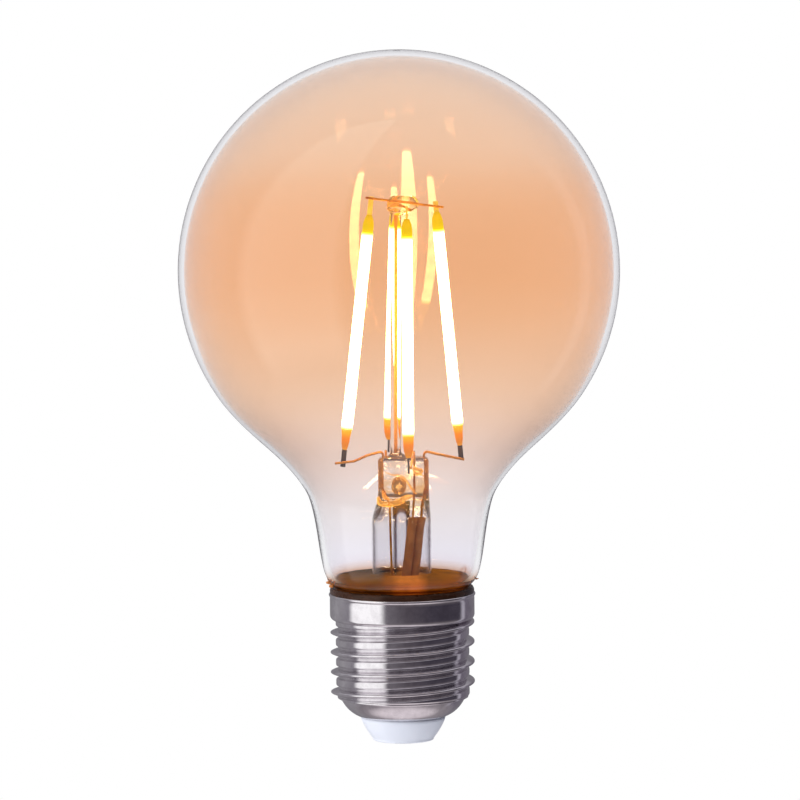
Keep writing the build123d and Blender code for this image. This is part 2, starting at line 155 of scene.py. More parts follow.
# Folds of glass in the press: points across and up, radius, and depth
PRESS_FOLDS = [
    ([(-4.2, 45.3), (-3.7, 44.1), (-2.3, 43.7), (-0.6, 44.1), (0.8, 45.1), (2.1, 45.4)], 0.66, -2.0),
    ([(-3.3, 46.4), (-2.9, 45.2), (-2.0, 44.7)], 0.34, -1.7),
    ([(-0.5, 49.2), (0.6, 48.7), (1.5, 47.5), (2.3, 46.2), (2.9, 45.8)], 0.20, -1.8),
    ([(-3.0, 50.1), (-1.6, 49.5), (-0.2, 49.4), (0.9, 48.8)], 0.12, -1.9),
    ([(2.2, 50.8), (3.1, 50.0), (3.9, 50.4)], 0.66, -1.6),
    ([(2.5, 49.3), (3.4, 49.5), (4.2, 49.2)], 0.16, -1.9),
]

# Filament cage, as in the CAD
CAGE_TURN = 9.6
FOOT_CIRCLE_R = 10.2
HEAD_CIRCLE_R = 6.5
LIT_LENGTH = 35.3
FOOT_COAT = 4.0
HEAD_COAT = 3.4
FILAMENT_R = 1.0
COAT_END_R = 0.4
GLOW = 20.0
STRIPS = {
    "right": {"turn": 0.0, "lit_low": 58.0, "foot_x": 0.35, "head_x": 0.8, "foot_r": 0.74},
    "back": {"turn": 90.0, "lit_low": 58.4, "foot_x": -0.3, "head_x": 0.4, "foot_r": 0.94},
    "left": {"turn": 180.0, "lit_low": 57.8, "foot_x": 0.35, "head_x": 0.8, "foot_r": 0.74},
    "front": {"turn": 270.0, "lit_low": 57.3, "foot_x": -0.3, "head_x": 0.4, "foot_r": 0.94},
}

# Cement from the middle of its top out over the rim: radius and height
CEMENT_PROFILE = [
    (0.5, 30.45), (4.5, 30.4), (4.8, 30.0), (5.0, 29.4), (9.0, 29.0), (12.0, 28.6), (12.38, 28.3),
    (12.5, 28.2), (12.7, 28.35), (12.95, 28.3), (13.1, 28.0), (13.13, 27.7), (13.1, 27.35), (13.0, 27.2),
    (12.7, 27.1),
]
CEMENT_SEAL_R = 12.3
CEMENT_RIM_R = 12.6


# Meshes
def ring(half_x, half_y, z, centre_x=0.0, power=2.0, count=96):
    """A closed ring at a height: a circle or ellipse at power 2, squarer above."""
    points = []
    for i in range(count):
        a = 2 * math.pi * i / count
        c, s = math.cos(a), math.sin(a)
        x = centre_x + half_x * math.copysign(abs(c) ** (2 / power), c)
        y = half_y * math.copysign(abs(s) ** (2 / power), s)
        points.append((x, y, z))
    return points


def skin(name, rows, close_start=True, close_end=True, slots=None):
    """A smooth mesh through rings of equal count, each end closed on its middle point."""
    count = len(rows[0])
    verts = [p for row in rows for p in row]
    faces, slot_of = [], []
    for r in range(len(rows) - 1):
        for i in range(count):
            j = (i + 1) % count
            faces.append((r * count + i, r * count + j, (r + 1) * count + j, (r + 1) * count + i))
            slot_of.append(slots[r] if slots else 0)
    ends = ([(0, False)] if close_start else []) + ([(len(rows) - 1, True)] if close_end else [])
    for r, last in ends:
        middle = tuple(sum(p[k] for p in rows[r]) / count for k in range(3))
        verts.append(middle)
        for i in range(count):
            a, b = r * count + i, r * count + (i + 1) % count
            faces.append((a, b, len(verts) - 1) if last else (b, a, len(verts) - 1))
            slot_of.append(slots[min(r, len(slots) - 1)] if slots else 0)
    mesh = bpy.data.meshes.new(name)
    mesh.from_pydata([tuple(v * MM for v in p) for p in verts], [], faces)
    mesh.polygons.foreach_set("use_smooth", [True] * len(faces))
    mesh.polygons.foreach_set("material_index", slot_of)
    face_out(mesh)
    piece = bpy.data.objects.new(name, mesh)
    bpy.context.scene.collection.objects.link(piece)
    return piece


def face_out(mesh):
    """Turn every face to the outside of its solid."""
    work = bmesh.new()
    work.from_mesh(mesh)
    bmesh.ops.remove_doubles(work, verts=work.verts, dist=0.0005 * MM)
    bmesh.ops.recalc_face_normals(work, faces=work.faces)
    work.to_mesh(mesh)
    work.free()


def lathe(name, outline, count=128, **options):
    """A turned piece: one ring for each (radius, height) of its outline."""
    return skin(name, [ring(r, r, z, count=count) for r, z in outline], **options)


def arc(centre, radius, start, end, steps):
    """Points of an arc in the (radius, height) plane, angles in degrees."""
    out = []
    for i in range(steps + 1):
        a = math.radians(start + (end - start) * i / steps)
        out.append((centre[0] + radius * math.cos(a), centre[1] + radius * math.sin(a)))
    return out


def line(start, end, steps):
    """Points of a straight run, without its first point."""
    return [(start[0] + (end[0] - start[0]) * i / steps, start[1] + (end[1] - start[1]) * i / steps)
            for i in range(1, steps + 1)]


def smooth(value, low, high):
    """0 below low, 1 above high, and a soft step between."""
    t = min(1.0, max(0.0, (value - low) / (high - low)))
    return t * t * (3 - 2 * t)


def mix(a, b, share):
    """A value between two others."""
    return a + (b - a) * share


# Materials
class Nodes:
    """A node tree, with short ways to add to it."""

    def __init__(self, tree):
        self.tree = tree

    def node(self, kind, **values):
        made = self.tree.nodes.new(kind)
        for key, value in values.items():
            if key in made.inputs:
                made.inputs[key].default_value = value
            else:
                setattr(made, key, value)
        return made

    def link(self, source, target):
        self.tree.links.new(source, target)

    def give(self, socket, value):
        """Give a socket a colour, a number or what another node puts out."""
        if isinstance(value, tuple):
            socket.default_value = (*value, 1)
        elif isinstance(value, float):
            socket.default_value = value
        else:
            self.link(value, socket)

    def maths(self, operation, *values):
        made = self.node("ShaderNodeMath", operation=operation)
        for socket, value in zip(made.inputs, values):
            self.give(socket, value)
        return made.outputs["Value"]

    def remap(self, source, low, high):
        """0 to 1 while the source goes from low to high."""
        made = self.node("ShaderNodeMapRange")
        made.inputs["From Min"].default_value = low
        made.inputs["From Max"].default_value = high
        self.link(source, made.inputs["Value"])
        return made.outputs["Result"]

    def ramp(self, source, stops):
        """Colours or grey levels at places from 0 to 1."""
        made = self.node("ShaderNodeValToRGB")
        while len(made.color_ramp.elements) < len(stops):
            made.color_ramp.elements.new(0.5)
        for element, (place, colour) in zip(made.color_ramp.elements, stops):
            element.position = place
            element.color = (*colour, 1) if isinstance(colour, tuple) else (colour, colour, colour, 1)
        self.link(source, made.inputs["Fac"])
        return made.outputs["Color"]

    def mix(self, factor, a, b, way="MIX"):
        made = self.node("ShaderNodeMix", data_type="RGBA", blend_type=way)
        for socket, value in ((made.inputs["Factor"], factor), (made.inputs[6], a), (made.inputs[7], b)):
            self.give(socket, value)
        return made.outputs[2]


class Shader(Nodes):
    """A node material with a Principled shader and short ways to add what feeds it."""

    def __init__(self, name, **values):
        self.material = bpy.data.materials.new(name)
        self.material.use_nodes = True
        super().__init__(self.material.node_tree)
        self.shader = self.tree.nodes["Principled BSDF"]
        self.fix(**values)

    def fix(self, **values):
        """Set what is the same all over the surface."""
        for key, value in values.items():
            self.shader.inputs[key.replace("_", " ")].default_value = value

    def feed(self, source, socket):
        self.link(source, self.shader.inputs[socket])

    def place(self, scale=(1, 1, 1)):
        """The object's own coordinates, stretched."""
        mapping = self.node("ShaderNodeMapping")
        mapping.inputs["Scale"].default_value = scale
        self.link(self.node("ShaderNodeTexCoord").outputs["Object"], mapping.inputs["Vector"])
        return mapping.outputs["Vector"]

    def span(self, low, high, axis="Z"):
        """0 to 1 over a span of one of the object's own axes, in millimetres."""
        split = self.node("ShaderNodeSeparateXYZ")
        self.link(self.place(), split.inputs["Vector"])
        return self.remap(split.outputs[axis], low * MM, high * MM)

    def near(self, spot, reach):
        """0 at a spot of the object, 1 from its reach outwards, in millimetres."""
        gap = self.node("ShaderNodeVectorMath", operation="DISTANCE")
        gap.inputs[1].default_value = tuple(v * MM for v in spot)
        self.link(self.place(), gap.inputs[0])
        return self.remap(gap.outputs["Value"], 0.0, reach * MM)

    def noise(self, scale, detail=3.0, stretch=(1, 1, 1), rough=0.5):
        made = self.node("ShaderNodeTexNoise")
        made.inputs["Scale"].default_value = scale
        made.inputs["Detail"].default_value = detail
        made.inputs["Roughness"].default_value = rough
        self.link(self.place(stretch), made.inputs["Vector"])
        return made.outputs["Fac"]

    def multiply(self, a, b):
        return self.mix(1.0, a, b, "MULTIPLY")

    def bump(self, source, distance, strength=1.0):
        made = self.node("ShaderNodeBump")
        made.inputs["Strength"].default_value = strength
        made.inputs["Distance"].default_value = distance * MM
        self.link(source, made.inputs["Height"])
        self.feed(made.outputs["Normal"], "Normal")


def seal_stain(m):
    """Brown that the cement leaves on the glass at the seal, gone a little above it."""
    return m.ramp(m.span(28.2, 33.0), [
        (0.0, (0.36, 0.14, 0.05)),
        (0.30, (0.66, 0.38, 0.22)),
        (0.48, (0.87, 0.72, 0.63)),
        (0.70, (0.97, 0.94, 0.94)),
        (1.0, (1.0, 1.0, 1.0)),
    ])


def clear_glass():
    """Clear glass with faint drawing waves, a stained seal and one thumbed smudge of cement."""
    m = Shader("clear_glass", Roughness=0.0, IOR=1.5, Transmission_Weight=1.0)
    clean = m.ramp(m.noise(30, 2.0), [(0.0, (0.98, 0.98, 1.0)), (1.0, (0.97, 0.975, 1.0))])
    reach = m.ramp(m.near(SMUDGE, SMUDGE_REACH), [(0.35, 1.0), (1.0, 0.0)])
    patchy = m.multiply(reach, m.ramp(m.noise(1500, 4.0, (0.5, 1, 1.6), 0.7), [(0.42, 0.0), (0.52, 1.0)]))
    smudged = m.mix(patchy, (1.0, 1.0, 1.0), (0.62, 0.34, 0.24))
    m.feed(m.multiply(m.multiply(clean, seal_stain(m)), smudged), "Base Color")
    m.bump(m.noise(90, 2.0, (1, 1, 0.25)), 0.02, 0.35)
    return m.material


def tinted_glass():
    """The inside of the globe: an amber film, deepest at mid height and gone in the neck."""
    m = Shader("amber_film", Roughness=0.0, IOR=1.5, Transmission_Weight=1.0)
    film = m.ramp(m.span(24, 126), [
        (0.0, (0.87, 0.85, 0.91)),
        (0.10, (0.86, 0.83, 0.89)),
        (0.17, (0.86, 0.80, 0.80)),
        (0.24, (0.86, 0.71, 0.65)),
        (0.31, (0.86, 0.62, 0.50)),
        (0.38, (0.91, 0.605, 0.42)),
        (0.47, (0.91, 0.53, 0.315)),
        (0.56, (0.905, 0.46, 0.23)),
        (0.65, (0.90, 0.45, 0.225)),
        (0.74, (0.91, 0.475, 0.245)),
        (0.81, (0.91, 0.555, 0.345)),
        (0.93, (0.90, 0.595, 0.40)),
        (1.0, (0.88, 0.60, 0.42)),
    ])
    mottle = m.ramp(m.noise(28, 4.0), [(0.3, 0.975), (0.7, 1.0)])
    m.feed(m.multiply(m.multiply(film, mottle), seal_stain(m)), "Base Color")
    return m.material


def stem_glass():
    """Drawn glass of the stem: painted golden light, a painted glow and waves in the lower press and the
    bead, almost unseen on the rod.
    """
    # The emission colour is a painted orange glow.
    m = Shader("stem_glass", Roughness=0.0, Transmission_Weight=1.0, Emission_Color=(1.0, 0.62, 0.16, 1))
    height = m.span(42, 100)
    # Painted golden light of the strips, in the lower press and the bead.
    painted_gold_light = m.ramp(height, [
        (0.0, (0.975, 0.975, 0.985)),
        (0.03, (0.96, 0.84, 0.66)),
        (0.06, (0.90, 0.55, 0.22)),
        (0.10, (0.92, 0.62, 0.30)),
        (0.14, (0.95, 0.85, 0.73)),
        (0.18, (0.95, 0.80, 0.62)),
        (0.22, (1.0, 0.97, 0.92)),
        (0.90, (1.0, 0.96, 0.90)),
        (0.95, (1.0, 0.93, 0.64)),
        (1.0, (1.0, 0.93, 0.64)),
    ])
    patches = m.ramp(m.noise(330, 3.0, (1, 1, 1.6)), [(0.36, 0.0), (0.54, 1.0)])
    m.feed(m.mix(patches, (0.975, 0.975, 0.985), painted_gold_light), "Base Color")
    bending = [(0.0, 1.52), (0.18, 1.52), (0.21, 1.07), (0.90, 1.07), (0.94, 1.36), (1.0, 1.36)]
    m.feed(m.ramp(height, bending), "IOR")
    # Painted glow, strongest in the bead.
    painted_glow_strength = [(0.0, 0.0), (0.05, 0.050), (0.11, 0.035), (0.19, 0.010), (0.9, 0.0), (0.94, 0.22), (1.0, 0.22)]
    m.feed(m.ramp(height, painted_glow_strength), "Emission Strength")
    wavy = m.ramp(height, [(0.0, 0.1), (0.03, 1.0), (0.15, 1.0), (0.19, 0.1), (0.93, 0.1), (0.95, 1.0)])
    m.bump(m.multiply(m.noise(420, 2.5, (1, 1, 1.2)), wavy), 0.35, 0.6)
    return m.material


def painted_rod_light_glow():
    """The orange line that the strips' light draws down the middle of the glass rod."""
    # Painted glow: base and emission colour stand for the strips' light in the rod.
    m = Shader("painted_rod_light_glow", Roughness=0.5, Specular_IOR_Level=0.1, Emission_Strength=0.35)
    tone_and_painted_glow = m.ramp(m.span(52, 97), [
        (0.0, (0.55, 0.20, 0.03)),
        (0.5, (0.85, 0.47, 0.10)),
        (1.0, (0.80, 0.33, 0.05)),
    ])
    m.feed(m.multiply(tone_and_painted_glow, m.ramp(m.noise(500, 2.0, (1, 1, 0.4)), [(0.3, 0.8), (0.7, 1.0)])), "Base Color")
    m.feed(tone_and_painted_glow, "Emission Color")
    return m.material


def bubble_glass(name, glow):
    """Glass of the blow-out bubble and the folds: brown-golden, dark round its edge; the brown-golden tint
    and the orange emission are painted light of the strips.
    """
    m = Shader(name, Roughness=0.0, IOR=1.5, Transmission_Weight=1.0)
    # Painted orange glow of the strips' light.
    m.fix(Emission_Color=(1.0, 0.50, 0.10, 1), Emission_Strength=glow)
    swirls = m.noise(900, 3.0, (1, 1, 1.5))
    m.feed(m.ramp(swirls, [(0.35, (0.78, 0.46, 0.13)), (0.6, (1.0, 0.80, 0.42))]), "Base Color")
    m.bump(m.noise(700, 2.0), 0.2, 0.6)
    return m.material


def strip_glow():
    """The coated strip: white-hot to the eye along its length, yellow then orange at its ends."""
    m = Shader("strip_glow", Base_Color=(0.12, 0.04, 0.0, 1), Roughness=0.6, Specular_IOR_Level=0.0)
    full = FOOT_COAT + LIT_LENGTH + HEAD_COAT
    along = m.span(-FOOT_COAT, LIT_LENGTH + HEAD_COAT)
    colour = m.ramp(along, [
        (0.0, (1.0, 0.42, 0.01)),
        (0.9 / full, (1.0, 0.31, 0.0)),
        (2.2 / full, (1.0, 0.27, 0.0)),
        (3.7 / full, (1.0, 0.56, 0.0)),
        (4.8 / full, (1.0, 0.78, 0.42)),
        ((full - 4.2) / full, (1.0, 0.78, 0.42)),
        ((full - 3.2) / full, (1.0, 1.00, 0.010)),
        ((full - 1.4) / full, (1.0, 0.86, 0.006)),
        (1.0, (1.0, 0.78, 0.006)),
    ])
    power = m.ramp(along, [
        (0.0, 0.050),
        (2.4 / full, 0.052),
        (3.9 / full, 0.075),
        (5.0 / full, 1.0),
        ((full - 4.3) / full, 1.0),
        ((full - 3.2) / full, 0.062),
        (1.0, 0.044),
    ])
    chips = m.node("ShaderNodeTexWave", bands_direction="Z", Scale=95.0)
    m.link(m.place(), chips.inputs["Vector"])
    m.feed(m.multiply(colour, m.ramp(chips.outputs["Fac"], [(0.0, 0.82), (1.0, 1.0)])), "Emission Color")
    m.feed(m.maths("MULTIPLY", power, GLOW), "Emission Strength")
    m.bump(m.noise(900, 2.0), 0.04)
    return m.material


def plain_metal(name, colour, roughness, spread=0.12, grain=(1, 1, 1)):
    """Bare metal with uneven polish."""
    m = Shader(name, Metallic=1.0)
    patches = m.noise(400, 4.0, grain)
    polish = m.noise(240, 3.0, grain)
    dark = tuple(0.72 * c for c in colour)
    m.feed(m.ramp(patches, [(0.3, dark), (0.65, colour)]), "Base Color")
    m.feed(m.ramp(polish, [(0.3, roughness), (0.7, roughness + spread)]), "Roughness")
    m.bump(patches, 0.01)
    return m.material


def lit_wire():
    """Bronze wire with a painted glow for the strips' light on it, stronger higher up."""
    m = Shader("wire_bronze", Metallic=0.35, Roughness=0.4, Specular_IOR_Level=0.3)
    tone_and_painted_glow = m.ramp(m.noise(600, 3.0), [(0.3, (0.55, 0.17, 0.005)), (0.65, (0.95, 0.46, 0.04))])
    m.feed(tone_and_painted_glow, "Base Color")
    m.feed(tone_and_painted_glow, "Emission Color")
    # Painted glow, rising towards the strips.
    m.feed(m.ramp(m.span(44, 62), [(0.0, 0.0), (0.6, 0.08), (1.0, 0.10)]), "Emission Strength")
    m.bump(m.noise(900, 2.0), 0.01)
    return m.material


def tab_metal():
    """Flat tabs: painted shade below, where they stand clear of the light, and a painted golden glow between
    the strips' tops.
    """
    m = Shader("tab_metal", Roughness=0.4, Specular_IOR_Level=0.2)
    worn = m.ramp(m.noise(700, 3.0), [(0.3, 0.55), (0.7, 1.0)])
    # Painted shade low down, painted golden light higher up.
    tone_and_painted_glow = m.ramp(m.span(60, 90), [(0.0, (0.085, 0.042, 0.022)), (1.0, (0.95, 0.80, 0.12))])
    m.feed(m.multiply(tone_and_painted_glow, worn), "Base Color")
    m.feed(tone_and_painted_glow, "Emission Color")
    # Painted glow, rising towards the strips' tops.
    m.feed(m.ramp(m.span(60, 90), [(0.0, 0.0), (1.0, 0.45)]), "Emission Strength")
    m.bump(m.noise(900, 2.0), 0.02)
    return m.material


def cap_metal():
    """Satin nickel plate: lines drawn round it by the rolling, and small marks."""
    m = Shader("cap_nickel", Metallic=1.0)
    lines = m.noise(60, 5.0, (1, 1, 26), 0.6)
    marks = m.noise(420, 4.0, (1, 1, 1), 0.65)
    m.feed(m.ramp(marks, [(0.25, (0.60, 0.575, 0.60)), (0.6, (0.77, 0.745, 0.77))]), "Base Color")
    m.feed(m.ramp(marks, [(0.3, 0.08), (0.8, 0.17)]), "Roughness")
    m.bump(lines, 0.0025, 0.5)
    return m.material


def insulator_plastic():
    """The cap's white insulator, a little blue."""
    m = Shader("white_insulator", Roughness=0.38, Specular_IOR_Level=0.3)
    m.feed(m.ramp(m.noise(140, 4.0), [(0.3, (0.70, 0.73, 0.81)), (0.7, (0.74, 0.77, 0.85))]), "Base Color")
    m.bump(m.noise(900, 2.0), 0.02)
    return m.material


def resin():
    """Brown basing cement, glossy where it ran and dull where it is dry."""
    m = Shader("basing_resin", Specular_IOR_Level=0.2)
    runs = m.noise(120, 5.0, (1, 1, 2.5), 0.6)
    m.feed(m.ramp(runs, [
        (0.3, (0.016, 0.006, 0.003)),
        (0.55, (0.045, 0.016, 0.007)),
        (0.78, (0.16, 0.065, 0.025)),
    ]), "Base Color")
    m.feed(m.ramp(runs, [(0.3, 0.18), (0.8, 0.45)]), "Roughness")
    m.bump(m.noise(300, 4.0), 0.15)
    return m.material


def flare_stain_painted_light():
    """The flare from above: dark golden stain from the cement under it, painted orange light by the sleeves,
    painted shade at the back and a painted glow all over.
    """
    m = Shader("flare_stain_painted_light", Specular_IOR_Level=0.0, Roughness=0.4, Emission_Strength=0.22)
    stain = m.ramp(m.noise(62, 4.0, (1, 1, 1), 0.55), [
        (0.34, (0.075, 0.024, 0.003)),
        (0.46, (0.130, 0.050, 0.004)),
        (0.56, (0.200, 0.085, 0.005)),
        (0.70, (0.330, 0.140, 0.020)),
    ])
    # Painted shade: bright in front, dark at the back.
    depth = m.ramp(m.span(-12, 11, "Y"), [(0.0, 1.25), (0.25, 0.95), (0.6, 0.75), (0.88, 0.40), (1.0, 0.08)])
    # Painted orange light by the sleeves, black to the left and dark at the far right.
    across = m.ramp(m.span(-12, 12, "X"), [
        (0.26, (0.0, 0.0, 0.0)),
        (0.42, (0.42, 0.15, 0.020)),
        (0.49, (0.80, 0.28, 0.038)),
        (0.62, (0.76, 0.26, 0.038)),
        (0.70, (0.30, 0.11, 0.010)),
        (0.93, (0.34, 0.12, 0.0)),
        (1.0, (0.10, 0.03, 0.0)),
    ])
    worn = m.ramp(m.noise(210, 3.0, (1, 1, 1), 0.6), [(0.34, 0.62), (0.58, 1.0)])
    # The cement stain with painted shade, lightened by the painted light by the sleeves; also fed to the
    # emission as a painted glow.
    stain_with_painted_light = m.mix(0.85, m.multiply(stain, depth), m.multiply(across, worn), "LIGHTEN")
    m.feed(stain_with_painted_light, "Base Color")
    m.feed(stain_with_painted_light, "Emission Color")
    m.bump(m.noise(180, 3.0), 0.08)
    return m.material


def moulded(name, dark, light, roughness, scale=500.0, glow=0.0):
    """A plain plastic, lacquer or sleeve with a fine uneven surface."""
    m = Shader(name, Specular_IOR_Level=0.25, Emission_Strength=glow)
    m.feed(m.ramp(m.noise(scale, 4.0), [(0.3, dark), (0.7, light)]), "Base Color")
    m.feed(m.ramp(m.noise(scale * 1.7, 2.0), [(0.3, roughness), (0.7, roughness + 0.15)]), "Roughness")
    m.bump(m.noise(scale * 2, 3.0), 0.02)
    return m.material


def dress(piece, replaced, slot, *materials):
    """Give a piece its materials, attach it to the root body and hide the CAD parts that it replaces."""
    for material in materials:
        piece.data.materials.append(material)
    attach(piece, "root")
    if replaced:
        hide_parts(*replaced)
    return piece


def recoat(node, material):
    """A CAD node keeps its shape and gets a better material."""
    mesh = frame["nodes"][node].data
    mesh.materials.clear()
    mesh.materials.append(material)


# Globe
def globe_outline():
    """The outer outline from crown to seal, with its changes of curve softened as blown glass has them."""
    drop = math.sqrt((GLOBE_R + THROAT_BLEND_R) ** 2 - (THROAT_R + THROAT_BLEND_R) ** 2)
    throat_z = GLOBE_Z - drop
    meet = math.degrees(math.atan2(-drop, THROAT_R + THROAT_BLEND_R))
    points = arc((0, GLOBE_Z), GLOBE_R, 89.2, meet, 140)
    points += arc((THROAT_R + THROAT_BLEND_R, throat_z), THROAT_BLEND_R, 180 + meet, 180, 26)[1:]
    for i in range(1, 9):
        t = i / 8
        points.append((mix(THROAT_R, NECK_LOW[0], t * t), mix(throat_z, NECK_LOW[1], t)))
    for i in range(1, 9):
        t = i / 8
        inward = t * t * (1.6 - 0.6 * t)
        points.append((mix(NECK_LOW[0], NECK_END[0], inward), mix(NECK_LOW[1], NECK_END[1], t)))
    points += line(NECK_END, (NECK_END[0], SEAL_Z), 6)
    return eased(points, (GLOBE_Z + GLOBE_R * math.sin(math.radians(meet)), throat_z))


def eased(points, joins):
    """The outline with its points drawn together round the heights where two curves join."""
    for _ in range(EASE_ROUNDS):
        moved = list(points)
        for i in range(1, len(points) - 1):
            near = min(abs(points[i][1] - z) for z in joins)
            pull = 0.5 * (1 - smooth(near, *EASE_REACH))
            for_r = (points[i - 1][0] + points[i + 1][0]) / 2
            for_z = (points[i - 1][1] + points[i + 1][1]) / 2
            moved[i] = (mix(points[i][0], for_r, pull), mix(points[i][1], for_z, pull))
        points = moved
    return points


def globe():
    """The blown envelope: outer skin down to the seal, then the amber inner skin back up."""
    outer = globe_outline()
    inner = []
    for i, (r, z) in enumerate(outer):
        before, after = outer[max(i - 1, 0)], outer[min(i + 1, len(outer) - 1)]
        slope = Vector((after[0] - before[0], after[1] - before[1])).normalized()
        wall = mix(THROAT_WALL, GLASS_WALL, smooth(abs(z - THROAT_THIN_Z), *THROAT_THIN_REACH))
        inner.append((max(r + slope.y * wall, 0.4), z - slope.x * wall))
    slots = [0] * len(outer) + [1] * (len(inner) - 1)
    return lathe("globe_glass", outer + inner[::-1], count=FINE_COUNT, slots=slots)


# Stem, rod and bead
def flare_rows():
    """The flare's edge, its slope up to the tube, and the fillet between them."""
    edge_r, edge_z = FLARE_EDGE
    foot_r = STEM_R + FLARE_FILLET
    rows = [ring(edge_r, edge_r, edge_z - FLARE_WALL), ring(edge_r, edge_r, edge_z)]
    for i in range(1, 9):
        r = mix(edge_r, foot_r, i / 8)
        rows.append(ring(r, r, mix(edge_z, FLARE_Z - 0.05, i / 8)))
    for r, z in arc((foot_r, FLARE_Z + FLARE_FILLET), FLARE_FILLET, 270, 180, 8)[1:]:
        rows.append(ring(r, r, z))
    return rows


def press_rows():
    """The tube, its shoulder and the flat press up to its rounded top."""
    half_x, half_y = PRESS_HALF
    low, high = SHOULDER_Z - 0.6, PRESS_LOW_Z + 0.4
    rows = [ring(STEM_R, STEM_R, z) for _, z in line((0, FLARE_Z + FLARE_FILLET), (0, low), 8)]
    for i in range(1, 25):
        z = mix(low, high, i / 24)
        t = smooth(z, low, high)
        rows.append(ring(mix(STEM_R, half_x, t), mix(STEM_R, half_y, t), z, PRESS_X * t,
                         mix(2.0, PRESS_POWER, t)))
    for _, z in line((0, high), (0, PRESS_TOP_Z - PRESS_CROWN), 8):
        rows.append(ring(half_x, half_y, z, PRESS_X, PRESS_POWER))
    for i in range(1, 9):
        a = math.pi / 2 * i / 8
        inset = PRESS_ROUND * (1 - math.cos(a))
        z = PRESS_TOP_Z - PRESS_CROWN + PRESS_CROWN * math.sin(a)
        rows.append(ring(half_x - inset, half_y - inset, z, PRESS_X, PRESS_POWER - 1.2 * i / 8))
    return rows


def rod_rows():
    """The drawn foot of the rod on the press, and the rod up to the bead."""
    rows = []
    for i in range(1, 9):
        t = i / 8
        fall = (1 - t) ** 2
        half = [mix(ROD_R, side - PRESS_ROUND, fall) for side in PRESS_HALF]
        rows.append(ring(*half, PRESS_TOP_Z + ROD_FOOT * t * t, mix(ROD_LOW_X, PRESS_X, fall),
                         mix(2.0, 4.0, fall)))
    for i in range(1, 15):
        z = mix(PRESS_TOP_Z + ROD_FOOT, BEAD[1] - BEAD_HALF[1] - ROD_END, i / 14)
        rows.append(ring(ROD_R, ROD_R, z, mix(ROD_LOW_X, ROD_TOP_X, i / 14)))
    return rows


def bead_rows():
    """The rod widening into the flattened bead that holds the top wires."""
    x, z = BEAD
    half_x, half_z = BEAD_HALF
    neck_x, neck_y = BEAD_NECK
    low_z = z - half_z - ROD_END
    rows = []
    for i in range(1, 7):
        t = smooth(i / 6, 0, 1)
        rows.append(ring(mix(ROD_R, neck_x, t), mix(ROD_R, neck_y, t), low_z + BEAD_NECK_RISE * i / 6,
                         mix(ROD_TOP_X, x - BEAD_LEAN, t)))
    for i in range(1, 19):
        h = mix(-0.85, 1.0, i / 19)
        wide = math.sqrt(max(0.0, 1 - h * h))
        lean = BEAD_LEAN * (1 - smooth(h, -0.85, -0.2))
        rows.append(ring(half_x * (0.35 + 0.65 * wide), half_z * wide, z + half_z * h, x - lean, BEAD_POWER))
    return rows


def bore_rows():
    """The stem's bore, from its flat roof in the press down to the flare's underside."""
    roof_x, roof_y, roof_z = BORE_ROOF
    bore = STEM_R - STEM_WALL
    low = SHOULDER_Z - 0.4
    foot_z = FLARE_Z - FLARE_WALL + 0.6
    rows = [ring(roof_x, roof_y, roof_z, PRESS_X, 4.0)]
    for i in range(1, 15):
        z = mix(roof_z, low, i / 14)
        t = 1 - smooth(z, low, roof_z)
        rows.append(ring(mix(roof_x, bore, t), mix(roof_y, bore, t), z, PRESS_X * (1 - t), mix(4.0, 2.0, t)))
    for _, z in line((0, low), (0, foot_z + 0.1), 6) + [(0, foot_z)]:
        rows.append(ring(bore, bore, z))
    rows.append(ring(STEM_R + 0.2, STEM_R + 0.2, FLARE_Z - FLARE_WALL))
    return rows


def stem():
    """Flare, tube, flat press, rod and bead: one piece of glass, closed over its own bore."""
    rows = flare_rows() + press_rows() + rod_rows() + bead_rows()
    # Slot 1 for the flare's lowest rows: the cement stain with painted light and shade.
    stained = [1 if row[0][2] < FLARE_Z + STAIN_RISE else 0 for row in rows]
    top = skin("stem_glass", rows, close_start=False, slots=stained)
    join(top, skin("stem_bore", bore_rows() + [rows[0]], close_end=False))
    return top


def join(kept, *others):
    """Make one mesh of several and weld the rings that they share."""
    meshes = [kept.data] + [o.data for o in others]
    verts, faces, slots = [], [], []
    for mesh in meshes:
        base = len(verts)
        verts += [v.co[:] for v in mesh.vertices]
        faces += [tuple(base + i for i in p.vertices) for p in mesh.polygons]
        slots += [p.material_index for p in mesh.polygons]
    made = bpy.data.meshes.new(kept.name)
    made.from_pydata(verts, [], faces)
    made.polygons.foreach_set("use_smooth", [True] * len(faces))
    made.polygons.foreach_set("material_index", slots)
    face_out(made)
    kept.data = made
    for other in others:
        bpy.data.objects.remove(other)


def bubble():
    """The blow-out bubble in the press, where the exhaust tube opens."""
    falls = [math.radians(-86 + 172 * i / 24) for i in range(25)]
    outline = [(BUBBLE_HALF[0] * math.cos(a), BUBBLE[1] + BUBBLE_HALF[1] * math.sin(a)) for a in falls]
    piece = lathe("press_bubble", outline[::-1], count=48)
    for v in piece.data.vertices:
        v.co.x += BUBBLE[0] * MM
    return piece


def painted_rod_light_line():
    """A thin line of painted light down the middle of the rod, from the press to the bead."""
    rows = []
    for i in range(25):
        t = i / 24
        rows.append(ring(ROD_LIGHT_LINE_R, ROD_LIGHT_LINE_R, mix(PRESS_TOP_Z + 0.6, BEAD[1] - BEAD_HALF[1] - 0.4, t),
                         mix(ROD_LOW_X, ROD_TOP_X, t), count=20))
    return skin("painted_rod_light_line", rows)


